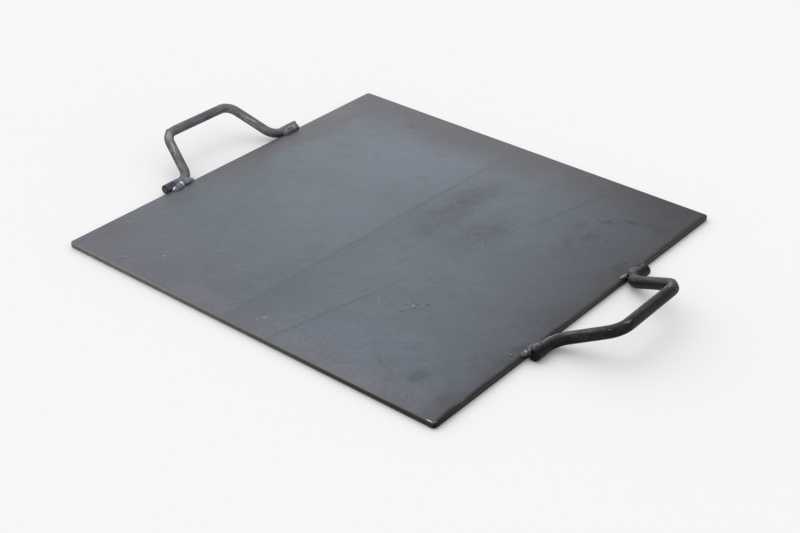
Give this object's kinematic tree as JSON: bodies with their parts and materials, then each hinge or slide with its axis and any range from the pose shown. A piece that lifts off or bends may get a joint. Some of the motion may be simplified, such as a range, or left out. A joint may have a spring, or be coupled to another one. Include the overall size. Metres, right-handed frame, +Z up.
{
  "type": "camp griddle plate",
  "caption": "Flat square griddle plate of thick bare steel, with sloping bent round-bar handles welded to its opposite edges, for cooking on a camp stove or open fire.",
  "frame": {"origin": "centre of the plate's flat underside", "axes": "+Z up out of the cooking face, +X from the left handle to the right handle, +Y from the front edge to the rear edge"},
  "size_m": [0.3935, 0.3048, 0.0265],
  "materials": {
    "plate_steel": "blue-grey mill scale of hot-rolled sheet, satin, with darker streaks and sheared edges",
    "bar_steel": "dark scale of hot-rolled round bar, semi-matte, rubbed brighter on top",
    "weld_steel": "raw weld metal, rippled, bluish silver with dark scale between the puddles"
  },
  "bodies": {
    "root": {"griddle_plate": "plate_steel", "left_handle": "bar_steel", "right_handle": "bar_steel", "left_front_weld": "weld_steel", "left_rear_weld": "weld_steel", "right_front_weld": "weld_steel", "right_rear_weld": "weld_steel", "weld_spatter": "weld_steel"}
  },
  "joints": []
}
